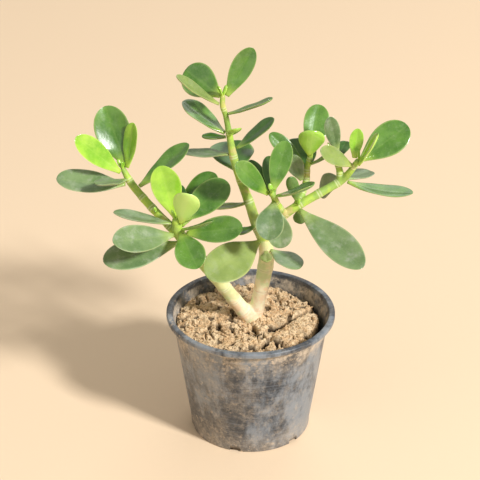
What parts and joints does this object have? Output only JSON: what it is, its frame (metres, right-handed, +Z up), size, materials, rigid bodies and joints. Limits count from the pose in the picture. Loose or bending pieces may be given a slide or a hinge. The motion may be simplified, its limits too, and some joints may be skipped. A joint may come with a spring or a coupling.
{
  "type": "potted jade plant",
  "caption": "Succulent with fleshy oval leaves on a forked woody stem, growing in dry soil in a tapered round nursery pot that stands on a flat floor",
  "frame": {"origin": "middle of the underside of the pot, on the floor it stands on", "axes": "+Z up, the front of the plant faces -Y, +X to the right seen from the front"},
  "size_m": [0.2248, 0.112, 0.2639],
  "materials": {
    "pot_plastic": "dusty black plastic",
    "dry_soil": "dry crumbly earth",
    "stem_skin": "smooth pale living bark",
    "leaf_green": "waxy green leaf",
    "leaf_lime": "waxy young leaf"
  },
  "bodies": {
    "root": {"pot": "pot_plastic", "soil": "dry_soil", "stem": "stem_skin", "leaf_a1": "leaf_green", "leaf_a2": "leaf_lime", "leaf_a3": "leaf_lime", "leaf_a4": "leaf_green", "leaf_a5": "leaf_green", "leaf_a6": "leaf_green", "leaf_b1": "leaf_green", "leaf_b2": "leaf_lime", "leaf_b3": "leaf_green", "leaf_b4": "leaf_green", "leaf_b5": "leaf_green", "leaf_b6": "leaf_green", "leaf_b7": "leaf_green", "leaf_b8": "leaf_green", "leaf_b9": "leaf_green", "leaf_b10": "leaf_green", "leaf_b11": "leaf_green", "leaf_c1": "leaf_lime", "leaf_c2": "leaf_green", "leaf_c3": "leaf_green", "leaf_c4": "leaf_green", "leaf_c5": "leaf_green", "leaf_c6": "leaf_green", "leaf_c7": "leaf_green", "leaf_c8": "leaf_green", "leaf_c9": "leaf_green", "leaf_c10": "leaf_green", "leaf_c11": "leaf_green", "leaf_d1": "leaf_green", "leaf_d2": "leaf_green", "leaf_d3": "leaf_green", "leaf_d4": "leaf_green", "leaf_d5": "leaf_green", "leaf_d6": "leaf_green", "leaf_d7": "leaf_green", "leaf_d8": "leaf_green", "leaf_d9": "leaf_green", "leaf_d10": "leaf_green", "leaf_d11": "leaf_green", "leaf_e1": "leaf_green", "leaf_e2": "leaf_green", "leaf_e3": "leaf_green", "leaf_e4": "leaf_green", "leaf_e5": "leaf_lime", "leaf_e6": "leaf_lime", "leaf_e7": "leaf_green", "leaf_e8": "leaf_lime", "leaf_e9": "leaf_green", "leaf_e10": "leaf_lime", "leaf_e11": "leaf_green", "leaf_e12": "leaf_green", "leaf_e13": "leaf_green", "leaf_e14": "leaf_green", "leaf_e15": "leaf_green", "leaf_e16": "leaf_green", "leaf_e17": "leaf_green", "leaf_e18": "leaf_green"}
  },
  "joints": []
}
